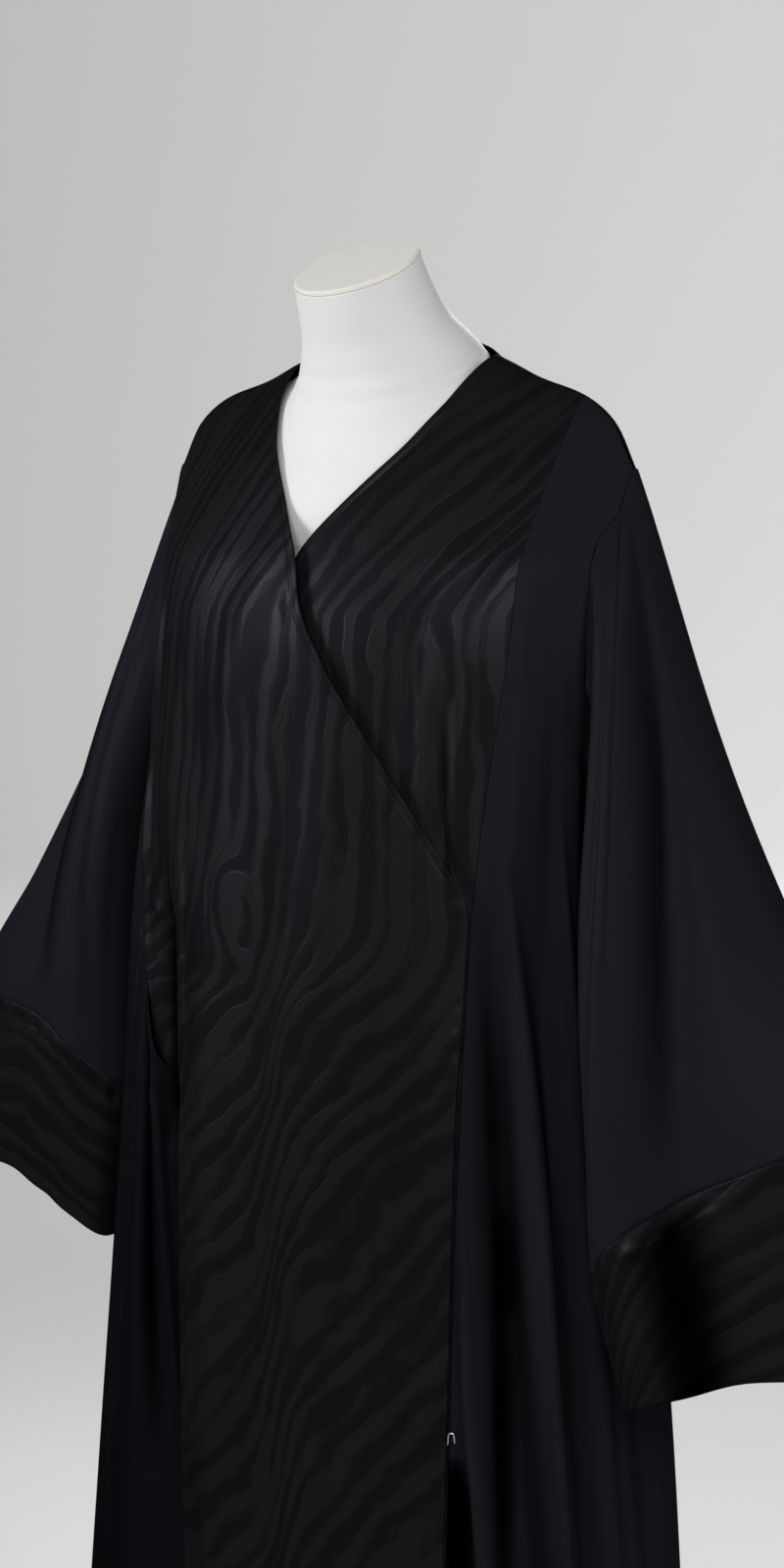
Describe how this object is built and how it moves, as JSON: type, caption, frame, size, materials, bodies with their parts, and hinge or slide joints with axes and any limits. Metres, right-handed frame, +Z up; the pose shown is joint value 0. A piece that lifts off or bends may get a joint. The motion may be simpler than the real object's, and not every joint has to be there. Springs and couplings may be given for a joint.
{
  "type": "wrap abaya cloak on a dress form",
  "caption": "Floor-length black wrap abaya with deep bell sleeves and striped satin fronts and cuffs, hung on a limbless white dress form with a round stand.",
  "frame": {"origin": "centre of the stand base's underside, on the floor", "axes": "+Z up; the wearer would face -Y, so the wearer's left is +X"},
  "size_m": [1.1136, 0.4178, 1.5263],
  "materials": {
    "jacquard": "satin stripe on a matte ground",
    "crepe": "matte crepe",
    "form_cloth": "matte white jersey",
    "cap_card": "matte cream",
    "steel": "satin"
  },
  "bodies": {
    "root": {"front_right": "jacquard", "front_left": "jacquard", "cuff_right": "jacquard", "cuff_left": "jacquard", "side_front_right": "crepe", "side_front_left": "crepe", "back": "crepe", "sleeve_right": "crepe", "sleeve_left": "crepe", "hook": "steel", "form_torso": "form_cloth", "neck_cap": "cap_card", "pole": "steel", "stand_base": "steel"}
  },
  "joints": []
}
